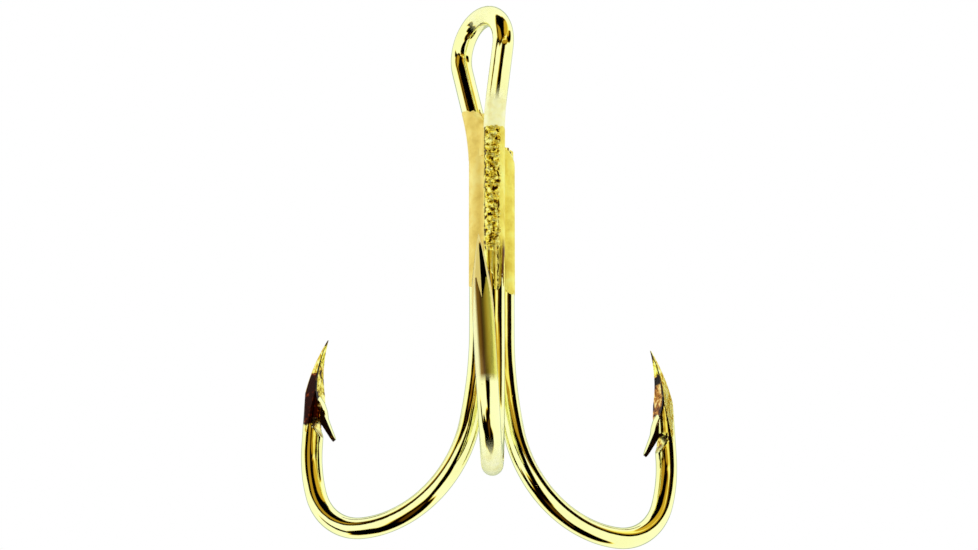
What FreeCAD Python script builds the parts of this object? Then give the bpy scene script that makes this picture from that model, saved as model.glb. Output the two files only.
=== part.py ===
import FreeCAD, Part
import math
import os
from FreeCAD import Vector

# A brazed treble hook, in millimetres.
# One wire is bent into the left hook, the closed eye and the front hook. A second wire is the
# single right hook. Braze metal in the grooves between the three shanks holds them together.
# The origin is the centre of the eye's round top. +Z runs along the shanks towards the eye,
# -Y is the way the front hook faces, and +X is to the right of someone facing that hook.

UP = Vector(0, 0, 1)

# Wire
WIRE_RADIUS = 0.70

# Eye: a round top, two straight legs that close in, and wide arcs down onto the shanks
EYE_RADIUS = 2.36            # middle of the wire
EYE_YAW = -55.4              # degrees from +X to the eye's plane
LEFT_LEG_ANGLE = 19.0        # degrees each leg leans from upright
FRONT_LEG_ANGLE = 12.0
LEG_BLEND_RADIUS = 13.0
LEFT_SHANK_OFFSET = -0.24    # along the eye's plane, from the eye's axis
FRONT_SHANK_OFFSET = 1.33

# Single hook
RIGHT_SHANK = Vector(1.42, 0.17, 0)
RIGHT_SHANK_TOP = -7.1       # height of its cut end
RIGHT_HOOK_DROP = 0.53       # how much lower it sits than the other two
END_BEVEL_DEPTH = 0.7
END_BEVEL_HEIGHT = 0.95

# Bend, the same for all three hooks: each arc is (radius, degrees turned)
BEND_TOP = -19.63
BEND_ARCS = [(27.4, 13.5), (7.7, 80.0), (3.87, 70.8), (10.3, 19.4)]
ARCS_BEFORE_LEAN = 2
SPEAR_LENGTH = 7.3
FRONT_SPEAR_LENGTH = 7.75    # the front hook's spear is a little longer
FRONT_HOOK_DROP = -0.12      # and its bend sits a little higher than the left one

# Which way each hook faces, in degrees from +X
LEFT_YAW = 150.0
RIGHT_YAW = 30.0
FRONT_YAW = -92.8
FRONT_LEAN = 3.2             # degrees the front point leans to the left

# Ground point: a hollow inside, a facet on each side and a narrow one outside
TIP_OFFSET = 0.69            # from the middle of the wire towards the shank
TIP_BLUNTNESS = 0.05         # thickness left at the very tip
FACET_ANGLE = 14.0           # degrees each side facet turns outwards from the bend's own plane
FACET_LENGTH = 7.0           # over which a side facet curves in from the wire's surface to the tip
OUTER_FACET_LENGTH = 5.2     # the same for the outer facet
HOLLOW_LENGTH = 5.0          # from the tip to the root of the barb
HOLLOW_DEPTH = 0.42          # below a straight line between those two

# Barb: a sliver lifted from the inner side, and the notch it leaves behind.
# Each corner is (height over the wire's surface, distance along the wire).
BARB_OUTLINE = [(-0.34, -0.3), (0.0, 0.2), (0.2, 0.7), (0.33, 1.25),
                (1.08, 2.85), (0.88, 2.98), (-0.12, 1.55), (-0.5, 1.4)]
NOTCH_OUTLINE = [(-0.5, 1.4), (-0.12, 1.55), (0.88, 2.98), (0.9, 3.1), (0.1, 2.6), (-0.42, 1.95)]
BARB_TIP_CORNER = 4          # which corner of the outline is the barb's tip
BARB_ROOT_WIDTH = 0.95
BARB_TIP_WIDTH = 0.30
LEFT_BARB_AT = 4.15          # from the point's tip to the start of the barb
RIGHT_BARB_AT = 4.5
FRONT_BARB_AT = 4.25

# Braze
CROTCH_TOP = -4.1            # where the braze web between the eye's legs ends
CROTCH_HOLLOW = 0.5          # radius of the round bottom that it gives the eye
SEAM_TOP = -7.7
SEAM_BOTTOM = -16.6
CORE_BOTTOM = -17.6
CROTCH_HALF_THICKNESS = 0.42
SEAM_REACH = 38.0            # degrees round each wire that a seam climbs
SEAM_SAG = 0.10              # how far a seam's face is hollowed
SEAM_END_SLOPE = 1.6         # height over which a seam fades out at its lower end
SEAM_END_THIN = 0.15         # where that fade starts and ends, in wire radii out from the wires' middles
SEAM_END_FULL = 0.75

BIG = 20.0                   # size of a cutting block
PAST = 0.1                   # how far a cutting block runs past what it cuts


def turned(angle):
    """A level unit vector at this angle from +X."""
    return Vector(math.cos(math.radians(angle)), math.sin(math.radians(angle)), 0)


EYE_ALONG = turned(EYE_YAW)
EYE_ACROSS = UP.cross(EYE_ALONG)
LEFT_SHANK = EYE_ALONG * LEFT_SHANK_OFFSET
FRONT_SHANK = EYE_ALONG * FRONT_SHANK_OFFSET


class Route:
    """A path of straight runs and tangent arcs, with the way ahead and the way it turns."""

    def __init__(self, point, ahead, side):
        self.point = point
        self.ahead = ahead
        self.side = side
        self.edges = []

    def run(self, length):
        end = self.point + self.ahead * length
        self.edges.append(Part.LineSegment(self.point, end).toShape())
        self.point = end

    def arc(self, radius, degrees):
        """Turn towards the side, or away from it when the angle is negative."""
        side = self.side if degrees > 0 else -self.side
        centre = self.point + side * radius
        turn = math.radians(abs(degrees))

        def on_arc(angle):
            return centre - side * (radius * math.cos(angle)) + self.ahead * (radius * math.sin(angle))

        end = on_arc(turn)
        self.edges.append(Part.Arc(self.point, on_arc(turn / 2), end).toShape())
        ahead = self.ahead * math.cos(turn) + side * math.sin(turn)
        turned_side = side * math.cos(turn) - self.ahead * math.sin(turn)
        self.point = end
        self.ahead = ahead
        self.side = turned_side if degrees > 0 else -turned_side

    def roll(self, degrees):
        """Tip the plane of the arcs that follow round the way ahead."""
        self.side = FreeCAD.Rotation(self.ahead, degrees).multVec(self.side)


def hook_route(shank, shank_top, yaw, drop=0.0, lean=0.0):
    """Down one shank and round its bend, up to where the straight spear starts."""
    route = Route(shank + UP * shank_top, -UP, turned(yaw))
    route.run(shank_top - BEND_TOP + drop)
    for count, (radius, degrees) in enumerate(BEND_ARCS):
        if count == ARCS_BEFORE_LEAN:
            route.roll(lean)
        route.arc(radius, degrees)
    return route


def leg_route(offset, angle, outward):
    """From a shank up one leg of the eye to the side of its round top, and the height it starts at."""
    lean = math.radians(angle)
    blend_out = LEG_BLEND_RADIUS * (1 - math.cos(lean))
    reach = EYE_RADIUS * math.cos(lean) - offset * outward
    straight = (reach - blend_out) / math.sin(lean)
    height = (EYE_RADIUS + LEG_BLEND_RADIUS) * math.sin(lean) + straight * math.cos(lean)
    route = Route(EYE_ALONG * offset - UP * height, UP, EYE_ALONG * outward)
    route.arc(LEG_BLEND_RADIUS, angle)
    route.run(straight)
    return route, -height


def sweep(edges, start, ahead):
    """A round wire along these edges."""
    circle = Part.Circle(start, ahead, WIRE_RADIUS).toShape()
    path = Part.Wire(edges)
    return path.makePipeShell([Part.Wire(circle)], True, False)


def double_hook_blank():
    """The left bend, the eye and the front bend as one bent wire, and where its two spears start."""
    left_leg, left_top = leg_route(LEFT_SHANK_OFFSET, LEFT_LEG_ANGLE, -1)
    front_leg, front_top = leg_route(FRONT_SHANK_OFFSET, FRONT_LEG_ANGLE, 1)
    left = hook_route(LEFT_SHANK, left_top, LEFT_YAW)
    front = hook_route(FRONT_SHANK, front_top, FRONT_YAW, drop=FRONT_HOOK_DROP, lean=FRONT_LEAN)
    crown = Part.Arc(left_leg.point, UP * EYE_RADIUS, front_leg.point).toShape()
    edges = left.edges[::-1] + left_leg.edges + [crown] + front_leg.edges[::-1] + front.edges
    return sweep(edges, left.point, left.ahead), left, front


def single_hook_blank():
    """The right shank and bend as one bent wire, and where its spear starts."""
    right = hook_route(RIGHT_SHANK, RIGHT_SHANK_TOP, RIGHT_YAW, drop=RIGHT_HOOK_DROP)
    return sweep(right.edges, right.point, right.ahead), right


def prism(outline, origin, along_a, along_b, thickness):
    """A flat outline in a plane, given thickness to both sides of that plane."""
    normal = along_a.cross(along_b)
    points = [origin + along_a * a + along_b * b - normal * (thickness / 2) for a, b in outline]
    face = Part.Face(Part.makePolygon(points + points[:1]))
    return face.extrude(normal * thickness)


def half_space(point, outward):
    """A block that fills the side of a plane that its outward direction points to."""
    across = outward.cross(UP if abs(outward.z) < 0.9 else Vector(1, 0, 0)).normalize()
    along = outward.cross(across)
    corner = point - (across + along) * (BIG / 2)
    corners = [corner, corner + across * BIG, corner + (across + along) * BIG, corner + along * BIG, corner]
    return Part.Face(Part.makePolygon(corners)).extrude(outward * BIG)


def facet_cutter(tip, ahead, outward, length, ground_off):
    """What one rounded facet grinds away: a block hollowed by a drum tangent to the wire."""
    radius = (length ** 2 + ground_off ** 2) / (2 * ground_off)
    axis = ahead.cross(outward)
    start = tip - ahead * length
    centre = start - outward * (radius - WIRE_RADIUS)
    drum = Part.makeCylinder(radius, BIG, centre - axis * (BIG / 2), axis)
    width = 4 * WIRE_RADIUS
    outline = [(0, -width), (length + 1, -width), (length + 1, width), (0, width)]
    return prism(outline, start, ahead, outward, 2 * width).cut(drum)


def facet_cutters(tip, ahead, inward):
    """The two side facets, which all but meet at the tip, and the outer one."""
    across = ahead.cross(inward)
    lean = math.radians(FACET_ANGLE)
    side_off = WIRE_RADIUS + TIP_OFFSET * math.sin(lean) - TIP_BLUNTNESS / 2 * math.cos(lean)
    outer_off = WIRE_RADIUS + TIP_OFFSET - TIP_BLUNTNESS
    cutters = [facet_cutter(tip, ahead, -inward, OUTER_FACET_LENGTH, outer_off)]
    for hand in (-1, 1):
        outward = across * (hand * math.cos(lean)) - inward * math.sin(lean)
        cutters.append(facet_cutter(tip, ahead, outward, FACET_LENGTH, side_off))
    return cutters


def hollow_cutter(tip, ahead, inward):
    """The wheel that hollows the inner side between the tip and the barb."""
    radius = ((HOLLOW_LENGTH / 2) ** 2 + HOLLOW_DEPTH ** 2) / (2 * HOLLOW_DEPTH)
    across = ahead.cross(inward)
    middle = tip + inward * TIP_OFFSET - ahead * (HOLLOW_LENGTH / 2)
    centre = middle + inward * (radius - HOLLOW_DEPTH)
    return Part.makeCylinder(radius, 4 * WIRE_RADIUS, centre - across * (2 * WIRE_RADIUS), across)


def barb_sliver(base, inward, back):
    """The sliver, narrowing towards its tip."""
    across = back.cross(inward)
    sliver = prism(BARB_OUTLINE, base, inward, back, BARB_ROOT_WIDTH)
    root_height, root_distance = BARB_OUTLINE[0]
    tip_height, tip_distance = BARB_OUTLINE[BARB_TIP_CORNER]
    root = base + inward * root_height + back * root_distance
    to_tip = inward * (tip_height - root_height) + back * (tip_distance - root_distance)
    narrowing = math.atan2((BARB_ROOT_WIDTH - BARB_TIP_WIDTH) / 2, to_tip.Length)
    to_tip.normalize()
    for hand in (-1, 1):
        edge = root + across * (hand * BARB_ROOT_WIDTH / 2)
        outward = across * (hand * math.cos(narrowing)) + to_tip * math.sin(narrowing)
        sliver = sliver.cut(half_space(edge, outward))
    return sliver


def spear(route, barb_at, length=SPEAR_LENGTH):
    """The straight end of one hook: a ground point, with its barb lifted from the inner side."""
    ahead = route.ahead
    inward = route.side
    tip = route.point + ahead * length
    rod = Part.makeCylinder(WIRE_RADIUS, length, route.point, ahead)
    for cutter in facet_cutters(tip, ahead, inward) + [hollow_cutter(tip, ahead, inward)]:
        rod = rod.cut(cutter)
    base = tip - ahead * barb_at + inward * WIRE_RADIUS
    rod = rod.cut(prism(NOTCH_OUTLINE, base, inward, -ahead, 3 * WIRE_RADIUS))
    return rod.fuse(barb_sliver(base, inward, -ahead)).removeSplitter()


def bevel_end(wire):
    """Bevel the outer edge of the single hook's cut end."""
    outward = turned(RIGHT_YAW)
    inner = WIRE_RADIUS - END_BEVEL_DEPTH
    lower = (WIRE_RADIUS + PAST, -END_BEVEL_HEIGHT - PAST)
    outline = [(inner, PAST), (inner, 0), lower, (2 * WIRE_RADIUS, PAST)]
    end = RIGHT_SHANK + UP * RIGHT_SHANK_TOP
    return wire.cut(prism(outline, end, outward, UP, 3 * WIRE_RADIUS))


def double_hook_wire():
    """The finished wire with two points."""
    wire, left, front = double_hook_blank()
    left_spear = spear(left, LEFT_BARB_AT)
    front_spear = spear(front, FRONT_BARB_AT, FRONT_SPEAR_LENGTH)
    return wire.fuse([left_spear, front_spear]).removeSplitter()


def single_hook_wire():
    """The finished wire with one point."""
    wire, right = single_hook_blank()
    return bevel_end(wire).fuse(spear(right, RIGHT_BARB_AT)).removeSplitter()


def seam_face(first, second, height):
    """The section of the braze in one groove, from the line between two wires out to a hollow face."""
    along = (second - first).normalize()
    out = along.cross(UP)
    reach = math.radians(SEAM_REACH)
    rise = out * (WIRE_RADIUS * math.sin(reach))
    step = along * (WIRE_RADIUS * math.cos(reach))
    start = first + step + rise
    end = second - step + rise
    middle = (start + end) * 0.5 - out * SEAM_SAG
    lift = UP * height
    edges = [
        Part.LineSegment(first + lift, start + lift).toShape(),
        Part.Arc(start + lift, middle + lift, end + lift).toShape(),
        Part.LineSegment(end + lift, second + lift).toShape(),
        Part.LineSegment(second + lift, first + lift).toShape(),
    ]
    return Part.Face(Part.Wire(edges))


def seam(first, second, top, bottom):
    """Braze along one groove, fading out at its lower end."""
    along = (second - first).normalize()
    out = along.cross(UP)
    bead = seam_face(first, second, bottom).extrude(UP * (top - bottom))
    thin = WIRE_RADIUS * SEAM_END_THIN
    full = WIRE_RADIUS * SEAM_END_FULL
    outer = 2 * WIRE_RADIUS
    fade = [(thin, -PAST), (full, SEAM_END_SLOPE), (outer, SEAM_END_SLOPE), (outer, -PAST)]
    wedge = prism(fade, first + UP * bottom, out, UP, 6 * WIRE_RADIUS)
    return bead.cut(wedge)


def core():
    """Braze in the three-cornered space between the shanks."""
    corners = [p + UP * CORE_BOTTOM for p in (LEFT_SHANK, FRONT_SHANK, RIGHT_SHANK)]
    face = Part.Face(Part.makePolygon(corners + corners[:1]))
    return face.extrude(UP * (SEAM_TOP - CORE_BOTTOM))


def leg_middle(offset, angle, outward, height):
    """Where the middle of a leg is at this height, along the eye's plane, on its lower arc."""
    start = leg_route(offset, angle, outward)[1]
    climbed = max(height - start, 0)
    return offset + outward * (LEG_BLEND_RADIUS - math.sqrt(LEG_BLEND_RADIUS ** 2 - climbed ** 2))


def crotch():
    """Braze web that closes the bottom of the eye, hollowed at its top."""
    heights = (SEAM_TOP, (SEAM_TOP + CROTCH_TOP) / 2, CROTCH_TOP)
    left = [(leg_middle(LEFT_SHANK_OFFSET, LEFT_LEG_ANGLE, -1, z), z) for z in heights]
    front = [(leg_middle(FRONT_SHANK_OFFSET, FRONT_LEG_ANGLE, 1, z), z) for z in heights]
    web = prism(left + front[::-1], Vector(), EYE_ALONG, UP, 2 * CROTCH_HALF_THICKNESS)
    middle = EYE_ALONG * ((left[-1][0] + front[-1][0]) / 2) + UP * CROTCH_TOP
    length = 4 * CROTCH_HALF_THICKNESS
    hollow = Part.makeCylinder(CROTCH_HOLLOW, length, middle - EYE_ACROSS * (length / 2), EYE_ACROSS)
    return web.cut(hollow)


def only_solid(shape):
    """The largest solid of a cut, without the crumbs beside it."""
    return max(shape.Solids, key=lambda solid: solid.Volume)


def braze(wires):
    """Every stretch of braze, cut to meet the wires and each other face to face."""
    blanks = {
        "braze_crotch": crotch(),
        "braze_seam_left": seam(LEFT_SHANK, FRONT_SHANK, SEAM_TOP, SEAM_BOTTOM),
        "braze_seam_right": seam(FRONT_SHANK, RIGHT_SHANK, SEAM_TOP, SEAM_BOTTOM),
        "braze_seam_rear": seam(RIGHT_SHANK, LEFT_SHANK, SEAM_TOP, SEAM_BOTTOM),
        "braze_core": core(),
    }
    return {name: only_solid(blank.cut(wires)) for name, blank in blanks.items()}


def main():
    os.makedirs("parts", exist_ok=True)
    double = double_hook_wire()
    single = single_hook_wire()
    nodes = {"double_hook_wire": double, "single_hook_wire": single}
    nodes.update(braze([double, single]))
    for name, shape in nodes.items():
        shape.exportStep(f"parts/{name}.step")
        box = shape.BoundBox
        print(f"{name}: {len(shape.Solids)} solid, {shape.Volume:.3f} mm3, valid {shape.isValid()}, "
              f"z {box.ZMin:.2f} to {box.ZMax:.2f}")


main()
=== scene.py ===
import math
import bpy
import numpy as np
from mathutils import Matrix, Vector, noise


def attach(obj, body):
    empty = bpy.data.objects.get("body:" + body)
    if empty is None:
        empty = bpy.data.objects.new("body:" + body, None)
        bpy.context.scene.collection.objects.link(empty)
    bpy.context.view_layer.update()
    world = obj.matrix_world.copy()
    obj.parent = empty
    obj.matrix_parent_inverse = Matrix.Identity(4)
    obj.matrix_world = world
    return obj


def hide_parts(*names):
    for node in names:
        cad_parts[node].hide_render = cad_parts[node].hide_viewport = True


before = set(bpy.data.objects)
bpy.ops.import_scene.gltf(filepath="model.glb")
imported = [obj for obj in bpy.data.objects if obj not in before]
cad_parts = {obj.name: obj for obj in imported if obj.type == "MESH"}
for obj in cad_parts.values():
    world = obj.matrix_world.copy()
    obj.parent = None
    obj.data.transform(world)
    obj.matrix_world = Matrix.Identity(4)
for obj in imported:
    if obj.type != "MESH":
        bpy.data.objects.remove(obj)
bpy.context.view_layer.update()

# A gold-plated treble hook: two bent wires and the braze that joins their shanks.
# Lengths are in millimetres until a mesh is made, which turns them into metres.
MM = 0.001
UP = np.array([0.0, 0.0, 1.0])

# Wire
WIRE_RADIUS = 0.70
STATION_STEP = 0.25          # between sections along the wire
SPEAR_STEP = 0.10            # between sections near a point
WAVER = 0.004                # how far the drawn wire is from perfectly round
OUTER_POINTS = 5             # points of half a section: over half of the outer side,
FACET_POINTS = 26            # over one side,
INNER_POINTS = 6             # and over half of the inner side
BURR_POINTS = 3              # how many points beside a ground hollow are its dark burr
LOWEST_CORNER = -84          # degrees between which the corners of a section may lie
HIGHEST_CORNER = 80

# Eye
EYE_RADIUS = 2.36
EYE_YAW = -55.4
LEFT_LEG_ANGLE = 19.0
FRONT_LEG_ANGLE = 12.0
LEG_BLEND_RADIUS = 13.0
LEFT_SHANK_OFFSET = -0.24
FRONT_SHANK_OFFSET = 1.33

# Single hook
RIGHT_SHANK = np.array([1.42, 0.17, 0.0])
RIGHT_SHANK_TOP = -7.1
RIGHT_HOOK_DROP = 0.53
END_BEVEL_DEPTH = 0.7
END_BEVEL_HEIGHT = 0.95

# Bends
BEND_TOP = -19.63
BEND_ARCS = [(27.4, 13.5), (7.7, 80.0), (3.87, 70.8), (10.3, 19.4)]
ARCS_BEFORE_LEAN = 2
SPEAR_LENGTH = 7.3
FRONT_SPEAR_LENGTH = 7.75
FRONT_HOOK_DROP = -0.12
LEFT_YAW = 150.0
RIGHT_YAW = 30.0
FRONT_YAW = -92.8
FRONT_LEAN = 3.2

# Ground point: a facet on each side, a narrower one outside and a hollow inside
TIP_OFFSET = 0.69
TIP_BLUNTNESS = 0.05
FACET_ANGLE = 14.0
FACET_LENGTH = 7.0
OUTER_FACET_LENGTH = 5.2
HOLLOW_LENGTH = 5.0
HOLLOW_DEPTH = 0.42

# Barb and the notch it leaves: (height over the wire's surface, distance from the barb's root)
BARB_TOP = [(-0.34, -0.3), (0.0, 0.2), (0.2, 0.7), (0.33, 1.25), (0.70, 2.05), (1.08, 2.85)]
BARB_UNDER = [(-0.60, 0.3), (-0.55, 0.9), (-0.50, 1.4), (-0.12, 1.55), (0.38, 2.27), (0.88, 2.98)]
NOTCH = [(1.32, 0.0), (1.40, -0.50), (1.95, -0.42), (2.6, 0.0)]
BARB_ROOT_WIDTH = 0.95
BARB_TIP_WIDTH = 0.30
BARB_SECTIONS = 25
BARB_COLUMNS = 15
BARB_ROUNDS_FROM = 0.9       # share of its length after which the barb's end is rounded
LEFT_BARB_AT = 4.15
RIGHT_BARB_AT = 4.5
FRONT_BARB_AT = 4.25

# Wear of each spear: how stained its facets are, how brown its hollow is and how dull its wire is; a dull
# round wire also gets painted reflection stripes across it
SPEAR_WEAR = {"left": (1.0, 0.3, 0.0), "right": (0.25, 1.0, 0.0), "front": (0.0, 0.5, 1.0)}
# Distances from the tip between which each of these fades in or out
STAIN_STARTS = (2.15, 2.45)
STAIN_ENDS = (5.5, 6.5)
TIP_STAIN_ENDS = (0.3, 0.5)
BROWN_STARTS = (1.65, 1.8)
BROWN_PALES = (2.1, 2.6)     # nearer the tip than this, the right point's brown is nearly black
BROWN_PALING = 0.4           # the share of the brown that is lost there
PALE_SIDE_EDGE = 0.02             # across the front point's outer facet: it is painted pale and matte beyond this and dark before it, as painted light and shade
STRIPED_DULL_STARTS = (7.2, 8.4)     # how far forward the front hook's dull stretch, with painted reflection stripes across its round wire, starts,
STRIPED_DULL_ENDS = (-28.25, -27.75)     # and the heights between which it ends

# Painted highlights: pale, matte stretches of the plating, each with the places between which it fades
CROWN_HIGHLIGHT = 0.5            # on the eye's round top: how strong the painted highlight is, the heights, and along the eye's plane
CROWN_HIGHLIGHT_HEIGHTS = (1.4, 2.3)
CROWN_HIGHLIGHT_SIDE = (-1.2, -0.2)
LEG_HIGHLIGHT_HEIGHTS = (-4.6, -2.8)     # on the eye's front leg, down to the braze
LEG_HIGHLIGHT_SIDE = (0.6, 0.9)
LEG_HIGHLIGHT_BOTTOM = -7.0
BEND_HIGHLIGHT_DEPTHS = (30.8, 32.1)     # on the bottom of the front bend: how low, and how far in front
BEND_HIGHLIGHT_REACH = (3.0, 5.0)

# Braze
BUNDLE = np.array([0.680, -0.242, 0.0])      # middle of the three shanks
SEAM_REACH = 38.0
SEAM_SAG = 0.10
SEAM_BOTTOM = -16.6
SEAM_END_SLOPE = 1.6
CROTCH_HALF_THICKNESS = 0.42
CROTCH_TOP = -4.1
CROTCH_TILT = 1.0            # how much lower the web ends on the front leg than on the left one
CROTCH_HOLLOW = 0.5
CROTCH_ROLL = 0.35           # how far down the web's rounded top reaches
CROTCH_HIGH = -3.6           # heights between which the crotch's grid runs
CROTCH_LOW = -7.75
SKIN_TOP = -7.2              # and the same for the skin over the shanks
SKIN_BOTTOM = -18.6
SKIN_STEP = 0.06
WIRE_COLUMNS = 22            # points of the skin over half of a wire
GROOVE_COLUMNS = 12          # and over a fillet
BURIED = 0.06                # how far under the wire's surface the skin ends
ROUGH_TOP = -6.0             # the lumpy stretch on the front shank
ROUGH_BOTTOM = -14.4
ROUGH_LEFT = 0.17            # x between which it lies
ROUGH_RIGHT = 1.10
ROUGH_HEIGHT = 0.13
LINE_RIGHT = 0.98            # x of the dark line along the right of it, and where that starts
LINE_TOP = -11.3
LINE_HALF_WIDTH = 0.09
TONGUE_LENGTH = 1.2          # how far the skin on the front shank runs down in tongues
# Layers of noise, each (size, how many to a millimetre)
WIRE_NOISE = [(1.0, 0.9), (0.5, 2.3)]
WANDER_NOISE = [(0.55, 1.7), (0.25, 5.0)]
LUMP_NOISE = [(1.0, 4.6), (0.5, 9.5)]
RIPPLE_NOISE = [(1.0, 9.0)]
# The skin on each shank: thickness, bottom, top, and height of its ripples
SKINS = {
    "left": (0.030, -16.7, -4.1, 0.006),
    "front": (0.020, -16.9, -6.0, 0.010),
    "right": (0.035, -17.3, -7.3, 0.012),
}

# How a stretch of the wire's surface was made, which chooses its material
DRAWN, GROUND, HOLLOW, CUT, TORN, OUTER = range(6)
PLAIN_WIRE = (0.0, 0.0, 0.0)


def turned(angle):
    """A level unit vector at this angle from +X."""
    return np.array([math.cos(math.radians(angle)), math.sin(math.radians(angle)), 0.0])


def about(axis, angle, vector):
    """The vector turned about a unit axis by an angle in radians."""
    along = axis * (axis @ vector)
    return along + (vector - along) * math.cos(angle) + np.cross(axis, vector) * math.sin(angle)


EYE_ALONG = turned(EYE_YAW)
EYE_ACROSS = np.cross(UP, EYE_ALONG)
LEFT_SHANK = EYE_ALONG * LEFT_SHANK_OFFSET
FRONT_SHANK = EYE_ALONG * FRONT_SHANK_OFFSET


class Route:
    """Stations along a bent wire: where its middle is, the way ahead and the way it turns."""

    def __init__(self, point, ahead, side):
        self.stations = [(point, ahead, side)]

    def run(self, length, step=STATION_STEP, last_side=None):
        """Straight on, with the side turning evenly to another if one is given."""
        point, ahead, side = self.stations[-1]
        twist = 0.0
        if last_side is not None:
            twist = math.atan2(np.cross(side, last_side) @ ahead, side @ last_side)
        count = max(1, round(length / step))
        for share in np.arange(1, count + 1) / count:
            self.stations.append((point + ahead * (length * share), ahead, about(ahead, twist * share, side)))

    def arc(self, radius, degrees):
        """Turn towards the side, or away from it when the angle is negative."""
        point, ahead, side = self.stations[-1]
        hand = 1 if degrees > 0 else -1
        centre = point + side * (hand * radius)
        axis = np.cross(ahead, side) * hand
        turn = math.radians(abs(degrees))
        count = max(4, round(radius * turn / STATION_STEP))
        for share in np.arange(1, count + 1) / count:
            angle = turn * share
            self.stations.append((centre + about(axis, angle, point - centre),
                                  about(axis, angle, ahead), about(axis, angle, side)))

    def roll(self, degrees):
        """Tip the plane of the arcs that follow round the way ahead."""
        point, ahead, side = self.stations[-1]
        self.stations[-1] = (point, ahead, about(ahead, math.radians(degrees), side))


def hook_route(shank, shank_top, top_side, yaw, drop=0.0, lean=0.0):
    """Down one shank and round its bend, up to where the straight spear starts."""
    route = Route(shank + UP * shank_top, -UP, top_side)
    route.run(shank_top - BEND_TOP + drop, last_side=turned(yaw))
    for count, (radius, degrees) in enumerate(BEND_ARCS):
        if count == ARCS_BEFORE_LEAN:
            route.roll(lean)
        route.arc(radius, degrees)
    return route


def leg_base(offset, angle, outward):
    """Height at which a leg of the eye leaves its shank, and the length of its straight stretch."""
    lean = math.radians(angle)
    blend_out = LEG_BLEND_RADIUS * (1 - math.cos(lean))
    straight = (EYE_RADIUS * math.cos(lean) - offset * outward - blend_out) / math.sin(lean)
    return -((EYE_RADIUS + LEG_BLEND_RADIUS) * math.sin(lean) + straight * math.cos(lean)), straight


LEFT_LEG_BASE, LEFT_LEG_STRAIGHT = leg_base(LEFT_SHANK_OFFSET, LEFT_LEG_ANGLE, -1)
FRONT_LEG_BASE, FRONT_LEG_STRAIGHT = leg_base(FRONT_SHANK_OFFSET, FRONT_LEG_ANGLE, 1)


def fade(value, low, high):
    """0 below one value and 1 above the other, and smooth between them."""
    share = min(max((value - low) / (high - low), 0.0), 1.0)
    return share * share * (3 - 2 * share)


def layered(layers, spot):
    """The sum of a few layers of noise at a spot."""
    return sum(size * noise.noise(Vector(spot * count)) for size, count in layers)


def spear_distances(barb_at, length=SPEAR_LENGTH):
    """Distances back from a point's tip at which the spear gets a section."""
    even = np.arange(0, length, SPEAR_STEP)
    notch = [barb_at + distance for distance, _ in NOTCH]
    return np.unique(np.round(np.concatenate([even, notch, [0.03]]), 3))[::-1]


def drum_reach(distance, length, ground_off):
    """How far a rounded facet is from the wire's middle, this far back from the tip."""
    drum = (length ** 2 + ground_off ** 2) / (2 * ground_off)
    into = max(length - distance, 0.0)
    return WIRE_RADIUS - (drum - math.sqrt(drum ** 2 - into ** 2))


def spear_reach(distance, barb_at):
    """How far the outer facet, the side facets, the hollow and the notch are from the wire's middle."""
    lean = math.radians(FACET_ANGLE)
    outer = drum_reach(distance, OUTER_FACET_LENGTH, WIRE_RADIUS + TIP_OFFSET - TIP_BLUNTNESS)
    side_off = WIRE_RADIUS + TIP_OFFSET * math.sin(lean) - TIP_BLUNTNESS / 2 * math.cos(lean)
    side = drum_reach(distance, FACET_LENGTH, side_off)
    wheel = ((HOLLOW_LENGTH / 2) ** 2 + HOLLOW_DEPTH ** 2) / (2 * HOLLOW_DEPTH)
    from_middle = distance - HOLLOW_LENGTH / 2
    hollow = TIP_OFFSET + wheel - HOLLOW_DEPTH - math.sqrt(wheel ** 2 - from_middle ** 2)
    notch = np.interp(distance - barb_at, [d for d, _ in NOTCH], [h for _, h in NOTCH]) + WIRE_RADIUS
    return outer, side, min(hollow, WIRE_RADIUS), notch


def section(outer=WIRE_RADIUS, side=WIRE_RADIUS, inner=WIRE_RADIUS, notch=WIRE_RADIUS):
    """Half of a section of the wire, from its outer middle to its inner middle, and how each point
    was made. Each point is (across, inward)."""
    lean = math.radians(FACET_ANGLE)
    facet = np.array([math.cos(lean), -math.sin(lean)])
    centre = np.array([0.0, (inner - outer) / 2])
    limits = ((np.array([0.0, -1.0]), outer), (facet, side), (np.array([0.0, 1.0]), inner))

    def corner_angle(height):
        """Angle at which the outer or the inner side meets the nearer of the facet and the circle."""
        on_facet = (side - facet[1] * height) / facet[0]
        on_circle = math.sqrt(max(WIRE_RADIUS ** 2 - height ** 2, 0.0))
        return math.atan2(height - centre[1], max(min(on_facet, on_circle), 1e-4))

    low = max(corner_angle(-outer), math.radians(LOWEST_CORNER))
    high = min(corner_angle(inner), math.radians(HIGHEST_CORNER))
    angles = np.concatenate([
        np.linspace(-math.pi / 2, low, OUTER_POINTS, endpoint=False),
        np.linspace(low, high, FACET_POINTS, endpoint=False),
        np.linspace(high, math.pi / 2, INNER_POINTS + 1)])
    rays = np.stack([np.cos(angles), np.sin(angles)], axis=1)
    toward = rays @ centre
    reach = -toward + np.sqrt(toward ** 2 - centre @ centre + WIRE_RADIUS ** 2)
    made = np.full(len(reach), DRAWN)
    limits += ((np.array([0.0, 1.0]), notch),)
    for (normal, limit), way in zip(limits, (OUTER, GROUND, HOLLOW, TORN)):
        facing = rays @ normal
        cut = np.where(facing > 1e-6, (limit - normal @ centre) / np.maximum(facing, 1e-6), np.inf)
        made[cut < reach - 1e-4] = way
        reach = np.minimum(reach, cut)
    if inner < WIRE_RADIUS - 1e-3 and side < WIRE_RADIUS - 1e-3:
        made[-INNER_POINTS - BURR_POINTS:-INNER_POINTS] = CUT
    return centre + rays * reach[:, None], made


def whole_ring(half):
    """A half section completed by its mirror image."""
    mirrored = half[-2:0:-1].copy()
    return np.concatenate([half, mirrored])


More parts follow.
